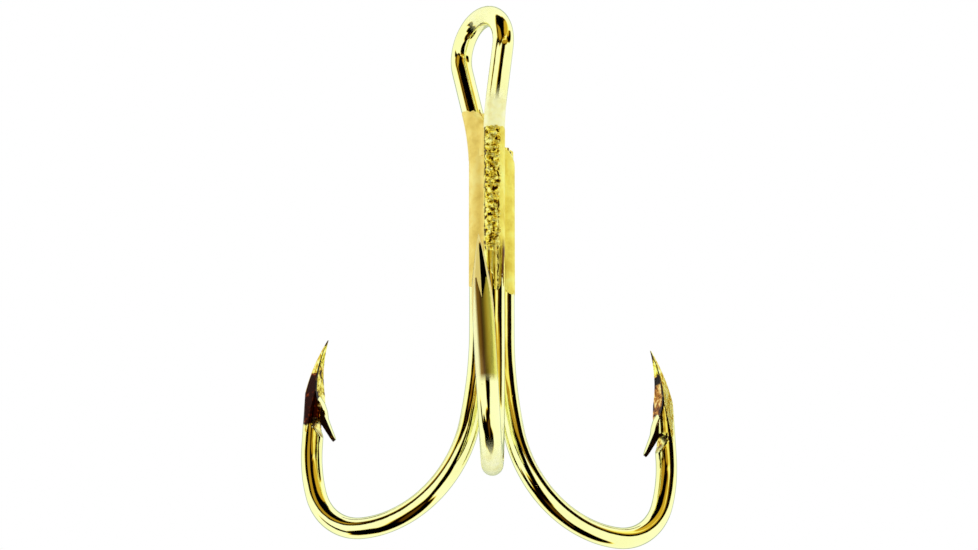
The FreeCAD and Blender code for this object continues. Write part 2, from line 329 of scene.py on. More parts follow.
class Shell:
    """A mesh under construction: points, faces, which material each face takes, and at each point where it is
    on the drawn wire, or in space on anything else, and three numbers of wear and painted light."""

    def __init__(self):
        self.points = []
        self.faces = []
        self.kinds = []
        self.drawn = []
        self.wear_and_painted_light = []

    def add(self, points, faces, kinds, drawn, wear_and_painted_light=None):
        first = len(self.points)
        self.points.extend(points)
        self.faces.extend([tuple(first + i for i in face) for face in faces])
        self.kinds.extend(kinds)
        self.drawn.extend(drawn)
        self.wear_and_painted_light.extend(wear_and_painted_light or [PLAIN_WIRE] * len(points))


def swept_wire(shell, stations, sections, wear_and_light_by_station):
    """Add a closed wire: one section at each station, joined and capped."""
    points, drawn, flags, wear_and_painted_light = [], [], [], []
    travelled = 0.0
    for index, ((point, ahead, side), (half, ground)) in enumerate(zip(stations, sections)):
        across = np.cross(ahead, side)
        ring = whole_ring(half)
        size = len(ring)
        ring[size // 2 + 1:, 0] *= -1
        flags.append(whole_ring(ground))
        if index:
            travelled += np.linalg.norm(point - stations[index - 1][0])
        for a, i in ring:
            spot = point + across * a + side * i
            out = spot - point
            points.append(spot + out * (layered(WIRE_NOISE, spot) * WAVER))
            drawn.append((travelled, a, i))
            wear_and_painted_light.append(wear_and_light_by_station[index])
    size = len(flags[0])
    faces, kinds = [], []
    for ring in range(len(stations) - 1):
        for k in range(size):
            n = (k + 1) % size
            a, b = ring * size, (ring + 1) * size
            faces.append((a + k, a + n, b + n, b + k))
            corners = [flags[ring][k], flags[ring][n], flags[ring + 1][k], flags[ring + 1][n]]
            kinds.append(int(DRAWN if DRAWN in corners else max(corners, key=corners.count)))
    last = (len(stations) - 1) * size
    faces.append(tuple(reversed(range(size))))
    faces.append(tuple(range(last, last + size)))
    kinds.extend([CUT, CUT])
    shell.add(points, faces, kinds, drawn, wear_and_painted_light)


def spear_wear(name, distance):
    """Wear this far back from a point's tip: how stained its facets are, how brown its hollow is and how dull
    its wire is; a dull round wire also gets painted reflection stripes across it."""
    stain, brown, dull = SPEAR_WEAR[name]
    staining = fade(distance, *STAIN_STARTS) * (1 - fade(distance, *STAIN_ENDS))
    browning = fade(distance, *BROWN_STARTS) * (1 - BROWN_PALING * fade(distance, *BROWN_PALES))
    return stain * max(staining, 1 - fade(distance, *TIP_STAIN_ENDS)), brown * browning, dull


def spear(route, barb_at, length=SPEAR_LENGTH):
    """Stations and sections of one straight, ground spear, from the bend to the tip."""
    start, ahead, side = route.stations[-1]
    tip = start + ahead * length
    distances = spear_distances(barb_at, length)
    stations = [(tip - ahead * d, ahead, side) for d in distances]
    return stations, [section(*spear_reach(d, barb_at)) for d in distances]


def barb(shell, route, barb_at, length=SPEAR_LENGTH):
    """Add the barb: a sliver with the wire's round surface on top and a flat cut face below."""
    start, ahead, side = route.stations[-1]
    across = np.cross(ahead, side)
    base = start + ahead * (length - barb_at) + side * WIRE_RADIUS
    shares = np.linspace(0, 1, BARB_SECTIONS)
    knots = np.linspace(0, 1, len(BARB_TOP))
    columns = np.linspace(-1, 1, BARB_COLUMNS)
    points = []
    for share in shares:
        top = [np.interp(share, knots, [p[i] for p in BARB_TOP]) for i in (0, 1)]
        under = [np.interp(share, knots, [p[i] for p in BARB_UNDER]) for i in (0, 1)]
        half = (BARB_ROOT_WIDTH + (BARB_TIP_WIDTH - BARB_ROOT_WIDTH) * share ** 0.8) / 2
        half *= math.sqrt(max(1 - max(share - BARB_ROUNDS_FROM, 0) ** 2 / 0.0105, 0.02))
        high = base + side * top[0] - ahead * top[1]
        low = base + side * under[0] - ahead * under[1]
        for column in columns:
            drop = 1 - math.sqrt(1 - (column * half / WIRE_RADIUS) ** 2)
            down = min(drop * WIRE_RADIUS / max(np.linalg.norm(high - low), 1e-6), 0.85)
            points.append(high + (low - high) * down + across * (column * half))
        for column in columns[::-1]:
            points.append(low + across * (column * half * 0.96))
    size = 2 * len(columns)
    faces, kinds = [], []
    for ring in range(len(shares) - 1):
        for k in range(size):
            n = (k + 1) % size
            a, b = ring * size, (ring + 1) * size
            faces.append((a + k, b + k, b + n, a + n))
            kinds.append(DRAWN if k < len(columns) - 1 else CUT)
    last = (len(shares) - 1) * size
    faces.append(tuple(range(size)))
    faces.append(tuple(reversed(range(last, last + size))))
    shell.add(points, faces, kinds + [CUT, CUT], points)


def finished_mesh(shell, name, materials, sharp_angle=24):
    """Turn a shell into an object in metres, with smooth shading broken at its sharp edges."""
    mesh = bpy.data.meshes.new(name)
    mesh.from_pydata([tuple(p * MM) for p in np.array(shell.points)], [], shell.faces)
    for material in materials:
        mesh.materials.append(material)
    mesh.polygons.foreach_set("material_index", shell.kinds)
    # The wear attribute holds real stains and lumps, and also painted highlights, painted reflection stripes
    # and painted shade lines.
    drawn = mesh.attributes.new("drawn", "FLOAT_VECTOR", "POINT")
    drawn.data.foreach_set("vector", np.array(shell.drawn, np.float32).ravel())
    wear_and_painted_light = mesh.attributes.new("wear_and_painted_light", "FLOAT_VECTOR", "POINT")
    wear_and_painted_light.data.foreach_set("vector", np.array(shell.wear_and_painted_light, np.float32).ravel())
    mesh.polygons.foreach_set("use_smooth", [True] * len(mesh.polygons))
    mesh.set_sharp_from_angle(angle=math.radians(sharp_angle))
    mesh.validate()
    mesh.update()
    piece = bpy.data.objects.new(name, mesh)
    bpy.context.scene.collection.objects.link(piece)
    return piece


def dull_striped_bend(point):
    """How dull the front hook's wire is here, which also paints reflection stripes across its round wire: its
    spear's dullness runs a little way into the bend.
    """
    return fade(-point[1], *STRIPED_DULL_STARTS) * fade(point[2], *STRIPED_DULL_ENDS)


def painted_highlight(point):
    """How strongly a pale, matte highlight is painted on the round wire of the eye or of the front hook here.
    """
    beside = EYE_ALONG @ point
    if point[2] < BEND_TOP:
        return fade(-point[2], *BEND_HIGHLIGHT_DEPTHS) * fade(-point[1], *BEND_HIGHLIGHT_REACH)
    if point[2] < LEG_HIGHLIGHT_BOTTOM:
        return 0.0
    on_crown = CROWN_HIGHLIGHT * fade(point[2], *CROWN_HIGHLIGHT_HEIGHTS) * fade(beside, *CROWN_HIGHLIGHT_SIDE)
    on_leg = (1 - fade(point[2], *LEG_HIGHLIGHT_HEIGHTS)) * fade(beside, *LEG_HIGHLIGHT_SIDE)
    return max(on_crown, on_leg)


def double_hook(materials):
    """The left hook, the eye and the front hook, bent from one wire. Where the second number of its wear and
    painted light is below zero, it says how strongly a pale highlight is painted on the round wire."""
    left = hook_route(LEFT_SHANK, LEFT_LEG_BASE, -EYE_ALONG, LEFT_YAW)
    front = hook_route(FRONT_SHANK, FRONT_LEG_BASE, EYE_ALONG, FRONT_YAW, FRONT_HOOK_DROP, FRONT_LEAN)
    left_spear, left_sections = spear(left, LEFT_BARB_AT)
    front_spear, front_sections = spear(front, FRONT_BARB_AT, FRONT_SPEAR_LENGTH)
    eye = Route(LEFT_SHANK + UP * LEFT_LEG_BASE, UP, -EYE_ALONG)
    eye.arc(LEG_BLEND_RADIUS, LEFT_LEG_ANGLE)
    eye.run(LEFT_LEG_STRAIGHT)
    eye.arc(EYE_RADIUS, -(180 + LEFT_LEG_ANGLE + FRONT_LEG_ANGLE))
    eye.run(FRONT_LEG_STRAIGHT)
    eye.arc(LEG_BLEND_RADIUS, FRONT_LEG_ANGLE)
    down = left.stations[:-1] + left_spear
    back_up = [(point, -ahead, side) for point, ahead, side in down[::-1]]
    stations = back_up + eye.stations[1:-1] + front.stations[:-1] + front_spear
    plain = [section()] * (len(stations) - len(left_sections) - len(front_sections))
    sections = left_sections[::-1] + plain + front_sections
    left_wear = [spear_wear("left", d) for d in spear_distances(LEFT_BARB_AT)]
    front_wear = [spear_wear("front", d) for d in spear_distances(FRONT_BARB_AT, FRONT_SPEAR_LENGTH)]
    # On the eye the second number is the painted highlight.
    eye_painted_highlight = [(0.0, -painted_highlight(point), 0.0) for point, _, _ in eye.stations[1:-1]]
    bend_highlight_and_stripes = [(0.0, -painted_highlight(point), dull_striped_bend(point)) for point, _, _ in front.stations[:-1]]
    wear_and_light_by_station = left_wear[::-1] + [PLAIN_WIRE] * (len(left.stations) - 1) + eye_painted_highlight + bend_highlight_and_stripes + front_wear
    shell = Shell()
    swept_wire(shell, stations, sections, wear_and_light_by_station)
    barb(shell, left, LEFT_BARB_AT)
    barb(shell, front, FRONT_BARB_AT, FRONT_SPEAR_LENGTH)
    return finished_mesh(shell, "double_hook", materials)


def single_hook(materials):
    """The right hook, with its cut and bevelled shank end."""
    right = hook_route(RIGHT_SHANK, RIGHT_SHANK_TOP, turned(RIGHT_YAW), RIGHT_YAW, RIGHT_HOOK_DROP)
    right_spear, right_sections = spear(right, RIGHT_BARB_AT)
    stations = right.stations[:-1] + right_spear
    sections = []
    for point, _, _ in right.stations[:-1]:
        below = RIGHT_SHANK_TOP - point[2]
        bevel = END_BEVEL_DEPTH * max(1 - below / END_BEVEL_HEIGHT, 0)
        sections.append(section(notch=WIRE_RADIUS - bevel))
    right_wear = [spear_wear("right", d) for d in spear_distances(RIGHT_BARB_AT)]
    shell = Shell()
    swept_wire(shell, stations, sections + right_sections, [PLAIN_WIRE] * len(sections) + right_wear)
    barb(shell, right, RIGHT_BARB_AT)
    return finished_mesh(shell, "single_hook", materials)


# Braze: a skin over the shanks, fillets in the grooves between them and a web between the eye's legs

def groove(first, second, outward, half_thickness):
    """The fillet between two wires, tangent to both and this far out at its lowest: its middle and
    radius, and the unit directions at which it leaves each wire."""
    half = np.linalg.norm(second - first) / 2
    fillet = (half ** 2 + half_thickness ** 2 - WIRE_RADIUS ** 2) / (2 * (WIRE_RADIUS - half_thickness))
    centre = (first + second) / 2 + outward * (half_thickness + fillet)
    leave_first = (centre - first) / np.linalg.norm(centre - first)
    leave_second = (centre - second) / np.linalg.norm(centre - second)
    return centre, fillet, leave_first, leave_second


def arc_directions(start, end, count):
    """Unit directions turning evenly from one to another."""
    axis = np.cross(start, end)
    turn = math.atan2(np.linalg.norm(axis), start @ end)
    axis = axis / max(np.linalg.norm(axis), 1e-9)
    return [about(axis, turn * share, start) for share in np.linspace(0, 1, count)]


def jacket(first, second, outward, half_thickness, first_middle, second_middle):
    """A level line over two wires and the fillet between them: points, the way out at each, and
    where each lies: -1 to 0 on the first wire, 0 to 1 on the fillet, 1 to 2 on the second wire."""
    centre, fillet, leave_first, leave_second = groove(first, second, outward, half_thickness)
    over_first = arc_directions(first_middle, leave_first, WIRE_COLUMNS)
    over_fillet = arc_directions(-leave_first, -leave_second, GROOVE_COLUMNS)[1:-1]
    over_second = arc_directions(leave_second, second_middle, WIRE_COLUMNS)
    points = [first + direction * WIRE_RADIUS for direction in over_first]
    points += [centre + direction * fillet for direction in over_fillet]
    points += [second + direction * WIRE_RADIUS for direction in over_second]
    outs = over_first + [-direction for direction in over_fillet] + over_second
    places = np.concatenate([np.linspace(-1, 0, WIRE_COLUMNS), np.linspace(0, 1, GROOVE_COLUMNS)[1:-1],
                             np.linspace(1, 2, WIRE_COLUMNS)])
    return points, outs, places


def skin_thickness(wire, spot, z):
    """Thickness of the braze skin on one wire, in millimetres, and how lumpy it is from 0 to 1.
    Below zero the skin is under the wire's surface and can't be seen."""
    wander = layered(WANDER_NOISE, spot)
    thick, bottom, top, ripple = SKINS[wire]
    if wire == "right":
        reach = max((spot - RIGHT_SHANK) @ turned(RIGHT_YAW), 0.0)
        top -= END_BEVEL_HEIGHT * reach / WIRE_RADIUS
    low = bottom + wander
    high = top + 0.3 * wander
    rough = 0.0
    if wire == "front":
        low += TONGUE_LENGTH * noise.noise(Vector((spot[0] * 3.5, spot[1] * 3.5, spot[2] * 0.25)))
        starts = ROUGH_BOTTOM + wander
        ends = ROUGH_TOP + 0.4 * wander
        right = ROUGH_RIGHT - 0.2 * wander
        left = ROUGH_LEFT - 0.1 * wander
        rough = fade(z, starts - 0.8, starts + 0.4) * (1 - fade(z, ends - 0.2, ends + 0.2))
        rough *= fade(spot[0], left - 0.04, left + 0.04) * (1 - fade(spot[0], right - 0.06, right + 0.06))
    here = fade(z, low - 0.15, low + 0.15) * (1 - fade(z, high - 0.12, high + 0.12))
    height = thick + ripple * layered(RIPPLE_NOISE, spot)
    height += rough * ROUGH_HEIGHT * max(layered(LUMP_NOISE, spot) + 0.3, -0.05)
    return -BURIED + (height + BURIED) * here, rough


def streakiness(spot):
    """How streaky the skin on the front shank is here: only below its lumpy stretch."""
    return 1 - fade(spot[2], ROUGH_BOTTOM - 0.4, ROUGH_BOTTOM + 0.8)


def shade_and_pit_line(spot):
    """1 in the dark lines along both sides of the lumpy stretch, fading to 0 beside them. The left one is
    painted shade in the crease along the front wire's edge, and the material breaks both into dark pits.
    """
    wander = 0.05 * noise.noise(Vector(spot * 2.5))
    left = 1 - fade(abs(spot[0] + wander - ROUGH_LEFT), 0.0, LINE_HALF_WIDTH)
    right = 1 - fade(abs(spot[0] + wander - LINE_RIGHT), 0.0, LINE_HALF_WIDTH)
    right *= 1 - fade(spot[2], LINE_TOP - 0.5, LINE_TOP + 0.5)
    return max(left * fade(spot[2], ROUGH_BOTTOM - 0.6, ROUGH_BOTTOM), right)


def grid_shell(rows, inner_rows):
    """Points and faces of a closed shell: an outer grid joined all round to an inner one of its size."""
    height, width = len(rows), len(rows[0])
    outer = [p for row in rows for p in row]
    inner = [p for row in inner_rows for p in row]
    count = len(outer)
    faces = []
    for r in range(height - 1):
        for c in range(width - 1):
            a = r * width + c
            faces.append((a, a + 1, a + width + 1, a + width))
            faces.append((count + a, count + a + width, count + a + width + 1, count + a + 1))
    rim = list(range(width)) + [r * width + width - 1 for r in range(1, height)]
    rim += [(height - 1) * width + c for c in range(width - 2, -1, -1)]
    rim += [r * width for r in range(height - 2, 0, -1)]
    for here, there in zip(rim, rim[1:] + rim[:1]):
        faces.append((here, count + here, count + there, there))
    return outer + inner, faces


def seam(name, first, second, material):
    """The braze in one groove with the skin on the near halves of its two wires. Its wear and painted light
    is how lumpy and how streaky the braze is, and where its dark lines of painted shade and pits run."""
    (first_name, first_point), (second_name, second_point) = first, second
    gap = second_point - first_point
    outward = np.cross(gap, UP)
    outward /= np.linalg.norm(outward)
    middles = [(p - BUNDLE) / np.linalg.norm(p - BUNDLE) for p in (first_point, second_point)]
    half_thickness = WIRE_RADIUS * math.sin(math.radians(SEAM_REACH)) - SEAM_SAG
    points, outs, places = jacket(first_point, second_point, outward, half_thickness, *middles)
    rows, inner_rows, lumpy = [], [], []
    for z in np.arange(SKIN_TOP, SKIN_BOTTOM, -SKIN_STEP):
        ending = fade(z, SEAM_BOTTOM - 0.2, SEAM_BOTTOM + SEAM_END_SLOPE)
        row, inner_row = [], []
        for point, out, place in zip(points, outs, places):
            spot = point + UP * z
            on_first, first_rough = skin_thickness(first_name, spot, z)
            on_second, second_rough = skin_thickness(second_name, spot, z)
            share = fade(place, 0.2, 0.8)
            height = on_first + (on_second - on_first) * share
            rough = first_rough + (second_rough - first_rough) * share
            filled = fade(place, -0.15, 0.25) * (1 - fade(place, 0.75, 1.15)) * ending
            height = max(height, -BURIED * (1 - filled))
            if 0 < place < 1:
                height -= (1 - ending) * half_thickness
            row.append(spot + out * height)
            inner_row.append(spot - out * (half_thickness * (0.9 if 0 < place < 1 else 0.6)))
            on_front = (first_name == "front") * (1 - share) + (second_name == "front") * share
            lumpy.append((rough, on_front * streakiness(spot), on_front * shade_and_pit_line(spot)))
        rows.append(row)
        inner_rows.append(inner_row)
    shell = Shell()
    points, faces = grid_shell(rows, inner_rows)
    shell.add(points, faces, [0] * len(faces), points, lumpy * 2)
    return finished_mesh(shell, name, [material], sharp_angle=70)


def leg_middle(offset, base, outward, z):
    """Where the middle of a leg of the eye is in the level plane at this height, on its lower arc."""
    climbed = max(z - base, 0.0)
    bend = LEG_BLEND_RADIUS - math.sqrt(LEG_BLEND_RADIUS ** 2 - climbed ** 2)
    return EYE_ALONG * (offset + outward * bend)


def crotch(material):
    """The braze between the eye's legs: a web with a hollow top, running out over both legs."""
    shell = Shell()
    for hand in (1, -1):
        rows, inner_rows, lumpy = [], [], []
        outward = -EYE_ACROSS * hand
        for z in np.arange(CROTCH_HIGH, CROTCH_LOW, -SKIN_STEP):
            left = leg_middle(LEFT_SHANK_OFFSET, LEFT_LEG_BASE, -1, z)
            front = leg_middle(FRONT_SHANK_OFFSET, FRONT_LEG_BASE, 1, z)
            points, outs, places = jacket(left, front, outward, CROTCH_HALF_THICKNESS, -EYE_ALONG, EYE_ALONG)
            middle = (left + front) / 2
            row, inner_row = [], []
            for point, out, place in zip(points, outs, places):
                across = (point - middle) @ EYE_ALONG
                top = CROTCH_TOP - math.sqrt(max(CROTCH_HOLLOW ** 2 - min(across, 0.0) ** 2, 0.0))
                top -= CROTCH_TILT * fade(across, -CROTCH_HOLLOW, CROTCH_HOLLOW)
                level = min(z, top) if 0 < place < 1 else z
                spot = point + UP * level
                on_left = skin_thickness("left", spot, z)[0]
                on_front, rough = skin_thickness("front", spot, z)
                share = fade(place, 0.2, 0.8)
                height = on_left + (on_front - on_left) * share
                if 0 < place < 1:
                    height = max(height, 0.0)
                    roll = min((top - level) / CROTCH_ROLL, 1.0)
                    inset = 1 - math.sqrt(1 - (1 - roll) ** 2)
                    thickness = (point - middle) @ outward
                    height -= inset * thickness
                row.append(spot + out * height)
                plane = point - outward * ((point - middle) @ outward - 0.01)
                inner_row.append(plane + UP * level)
                lumpy.append((rough * share, 0.0, share * shade_and_pit_line(spot)))
            rows.append(row)
            inner_rows.append(inner_row)
        points, faces = grid_shell(rows, inner_rows)
        if hand < 0:
            faces = [face[::-1] for face in faces]
        shell.add(points, faces, [0] * len(faces), points, lumpy * 2)
    return finished_mesh(shell, "braze_crotch_skin", [material], sharp_angle=70)


# Materials

MAROON_STAIN = [(0.55, (0.020, 0.002, 0.0)), (0.66, (0.16, 0.02, 0.0)), (0.74, (0.80, 0.35, 0.08))]


class Graph:
    """A short way to write a node tree."""

    def __init__(self, tree, material=None):
        self.tree = tree
        self.material = material
        tree.nodes.clear()

    def node(self, kind, inputs=(), **settings):
        made = self.tree.nodes.new(kind)
        for name, value in settings.items():
            setattr(made, name, value)
        for name, value in dict(inputs).items():
            socket = made.inputs[name]
            if isinstance(value, bpy.types.NodeSocket):
                self.tree.links.new(value, socket)
            else:
                socket.default_value = value
        return made

    def math(self, operation, a, b=0.0, clamp=False):
        made = self.node("ShaderNodeMath", {0: a, 1: b}, operation=operation, use_clamp=clamp)
        return made.outputs[0]

    def times(self, a, b):
        return self.math("MULTIPLY", a, b)

    def plus(self, a, b):
        return self.math("ADD", a, b)

    def minus(self, a, b):
        return self.math("SUBTRACT", a, b)

    def place(self):
        """Where a spot is on the object, in metres."""
        return self.node("ShaderNodeTexCoord").outputs["Object"]

    def attribute(self, name):
        return self.node("ShaderNodeAttribute", attribute_name=name).outputs["Vector"]

    def parts(self, vector):
        """The three numbers of a vector."""
        return self.node("ShaderNodeSeparateXYZ", {0: vector}).outputs

    def stretched(self, vector, factors):
        return self.node("ShaderNodeVectorMath", {0: vector, 1: factors}, operation="MULTIPLY").outputs[0]

    def noise(self, vector, scale, detail=3.0, rough=0.55, distortion=0.0):
        made = self.node("ShaderNodeTexNoise", {"Vector": vector, "Scale": scale, "Detail": detail,
                                                "Roughness": rough, "Distortion": distortion})
        return made.outputs["Fac"]

    def ramp(self, value, stops):
        made = self.node("ShaderNodeValToRGB", {"Fac": value})
        ramp = made.color_ramp
        while len(ramp.elements) < len(stops):
            ramp.elements.new(0.5)
        for element, (place, colour) in zip(ramp.elements, stops):
            element.position = place
            element.color = (*colour, 1.0)
        return made.outputs["Color"]

    def mixed(self, share, first, second):
        """One colour turning into another."""
        made = self.node("ShaderNodeMix", {"Factor": share, 6: first, 7: second}, data_type="RGBA")
        return made.outputs[2]

    def spread(self, value, low, high, to_low=0.0, to_high=1.0):
        """Map low..high smoothly onto another range."""
        made = self.node("ShaderNodeMapRange", {"Value": value, "From Min": low, "From Max": high,
                                                "To Min": to_low, "To Max": to_high},
                         interpolation_type="SMOOTHSTEP")
        return made.outputs["Result"]

    def bump(self, height, distance, strength=1.0, under=None):
        inputs = {"Height": height, "Distance": distance, "Strength": strength}
        if under is not None:
            inputs["Normal"] = under
        return self.node("ShaderNodeBump", inputs).outputs["Normal"]

    def shaded(self, inputs):
        """The finished material: its shader takes these inputs, and is metal unless they say otherwise."""
        shader = self.node("ShaderNodeBsdfPrincipled", {"Metallic": 1.0, **inputs})
        self.node("ShaderNodeOutputMaterial", {"Surface": shader.outputs[0]})
        return self.material


def surface(name):
    """The graph of a new material."""
    material = bpy.data.materials.new(name)
    material.use_nodes = True
    return Graph(material.node_tree, material)


def blotched(graph, stained, place):
    """How stained a spot is, with the stain's faint stretches broken into blotches."""
    cloud = graph.noise(place, 1100.0, 4.0, 0.6)
    uneven = graph.times(graph.minus(cloud, 0.5), 1.3)
    return graph.spread(graph.plus(stained, uneven), 0.42, 0.58)


def polished_gold():
    """Bright gold plate over drawn wire, with faint draw marks and a few specks. It is stained where the wear
    says so; where it says dull it is rougher and has painted reflection stripes across the wire, and where it
    says so it is pale and matte, a painted highlight."""
    graph = surface("polished_gold")
    place, drawn = graph.place(), graph.attribute("drawn")
    stained, negative_highlight_share, dull = graph.parts(graph.attribute("wear_and_painted_light"))
    # How strongly a highlight is painted here, from 0 to 1.
    highlight_share = graph.math("MULTIPLY", negative_highlight_share, -1.0, clamp=True)
    cloud = graph.noise(place, 260.0, 4.0)
    marks = graph.noise(graph.stretched(drawn, (0.06, 1.0, 1.0)), 9.0, 3.0)
    specks = graph.noise(place, 2600.0, 2.0)
    clean = graph.ramp(cloud, [(0.30, (0.91, 0.88, 0.38)), (0.55, (0.95, 0.94, 0.46)),
                               (0.75, (0.97, 0.97, 0.54))])
    # Painted reflection stripes across the dull wire: yellow at one edge, black past the middle, cream at the
    # other.
    side = graph.plus(graph.times(graph.parts(drawn)[1], 0.7), 0.5)
    painted_reflection_stripes = graph.ramp(side, [(0.12, (0.80, 0.78, 0.12)), (0.36, (0.34, 0.28, 0.02)),
                                (0.58, (0.10, 0.045, 0.003)), (0.74, (0.30, 0.16, 0.01)),
                                (0.84, (0.95, 0.93, 0.48))])
    grain = graph.noise(place, 1500.0, 4.0, 0.6)
    # The colour of a painted highlight: pale and matte.
    highlight_colour = graph.ramp(grain, [(0.32, (0.93, 0.87, 0.38)), (0.46, (0.99, 0.98, 0.48)),
                               (0.62, (1.0, 1.0, 0.62))])
    maroon = graph.ramp(specks, MAROON_STAIN)
    stains_and_painted_stripes = graph.mixed(blotched(graph, stained, place), graph.mixed(dull, clean, painted_reflection_stripes), maroon)
    metallic = graph.minus(graph.spread(highlight_share, 0.0, 1.0, 1.0, 0.1), graph.times(dull, 0.5))
    smooth = graph.spread(cloud, 0.3, 0.75, 0.035, 0.085)
    blurred = graph.times(graph.math("POWER", highlight_share, 3.0), 0.45)
    fine = graph.bump(marks, 0.0000025)
    return graph.shaded({"Base Color": graph.mixed(highlight_share, stains_and_painted_stripes, highlight_colour), "Metallic": metallic,
                         "Roughness": graph.plus(smooth, graph.plus(graph.times(dull, 0.20), blurred)),
                         "Normal": graph.bump(graph.spread(specks, 0.74, 0.80), 0.000006, 1.0, fine)})


def outer_gold():
    """Smooth dark gold plate on the narrow facet outside a point. On the front point one side of it is
    painted pale and matte and the other left dark: painted light and shade.
    """
    graph = surface("outer_gold")
    cloud = graph.noise(graph.place(), 700.0, 4.0)
    across = graph.parts(graph.attribute("drawn"))[1]
    # The pale side of the front point's outer facet, painted light beside its dark, shaded side.
    on_pale_side = graph.spread(across, PALE_SIDE_EDGE - 0.02, PALE_SIDE_EDGE + 0.02)
    dull = graph.times(graph.parts(graph.attribute("wear_and_painted_light"))[2], on_pale_side)
    colour = graph.ramp(cloud, [(0.3, (0.55, 0.36, 0.08)), (0.7, (0.90, 0.80, 0.34))])
    smooth = graph.spread(cloud, 0.3, 0.7, 0.05, 0.10)
    return graph.shaded({"Base Color": graph.mixed(dull, colour, (0.96, 0.78, 0.22, 1.0)),
                         "Metallic": graph.spread(dull, 0.0, 1.0, 1.0, 0.3),
                         "Roughness": graph.plus(smooth, graph.times(dull, 0.4)),
                         "Normal": graph.bump(cloud, 0.000006)})


def hollow_gold():
    """Gold plate over the hollow inside of a point: rough, speckled brown and orange."""
    graph = surface("hollow_gold")
    wear_and_painted_light = graph.parts(graph.attribute("wear_and_painted_light"))[1]
    speckle = graph.noise(graph.place(), 1900.0, 4.0, 0.7, 0.6)
    bright = graph.ramp(speckle, [(0.40, (0.03, 0.015, 0.0)), (0.45, (0.48, 0.32, 0.01)),
                                  (0.51, (0.90, 0.82, 0.06)), (0.64, (1.0, 1.0, 0.40))])
    dark = graph.ramp(speckle, [(0.40, (0.02, 0.004, 0.0)), (0.48, (0.28, 0.08, 0.0)),
                                (0.56, (0.62, 0.28, 0.03)), (0.66, (0.95, 0.80, 0.30))])
    browned = graph.mixed(graph.spread(wear_and_painted_light, 0.0, 0.6), bright, dark)
    colour = graph.mixed(graph.spread(wear_and_painted_light, 0.72, 0.92), browned, (0.006, 0.003, 0.0, 1.0))
    return graph.shaded({"Base Color": colour, "Roughness": graph.spread(speckle, 0.35, 0.65, 0.40, 0.22),
                         "Normal": graph.bump(speckle, 0.00004)})


def cut_gold():
    """Thin dark plate beside and below a barb, and in the burr along a point's inner edges."""
    graph = surface("cut_gold")
    tear = graph.noise(graph.place(), 2200.0, 4.0, 0.65)
    colour = graph.ramp(tear, [(0.54, (0.008, 0.002, 0.0)), (0.64, (0.10, 0.04, 0.0)),
                               (0.74, (0.70, 0.55, 0.20))])
    return graph.shaded({"Base Color": colour, "Roughness": graph.spread(tear, 0.3, 0.7, 0.35, 0.2),
                         "Specular IOR Level": 0.2, "Normal": graph.bump(tear, 0.00003)})


def torn_gold():
    """Pale, ragged plate in the notch below a barb."""
    graph = surface("torn_gold")
    tear = graph.noise(graph.place(), 1900.0, 4.0, 0.65)
    colour = graph.ramp(tear, [(0.42, (0.28, 0.11, 0.0)), (0.48, (0.76, 0.50, 0.04)),
                               (0.58, (1.0, 0.93, 0.30))])
    return graph.shaded({"Base Color": colour, "Roughness": 0.30, "Normal": graph.bump(tear, 0.00005)})


def ground_gold():
    """Gold plate over the ground facets, stained maroon in places, with the marks of the wheel."""
    graph = surface("ground_gold")
    place = graph.place()
    stained, _, dull = graph.parts(graph.attribute("wear_and_painted_light"))
    along = graph.stretched(graph.attribute("drawn"), (1.0, 3.0, 3.0))
    patchy = graph.noise(along, 2.2, 5.0, 0.6, 0.8)
    marks = graph.noise(along, 8.0, 3.0)
    clean = graph.ramp(patchy, [(0.40, (0.52, 0.26, 0.0)), (0.48, (0.86, 0.70, 0.08)),
                                (0.60, (0.98, 0.97, 0.42))])
    maroon = graph.ramp(graph.noise(place, 2100.0, 3.0), MAROON_STAIN)
    colour = graph.mixed(blotched(graph, stained, place), clean, maroon)
    smooth = graph.spread(patchy, 0.35, 0.65, 0.20, 0.10)
    return graph.shaded({"Base Color": graph.mixed(dull, colour, (0.98, 0.80, 0.24, 1.0)),
                         "Metallic": graph.spread(dull, 0.0, 1.0, 1.0, 0.3),
                         "Roughness": graph.plus(smooth, graph.times(dull, 0.35)),
                         "Normal": graph.bump(marks, 0.00001, 0.8)})


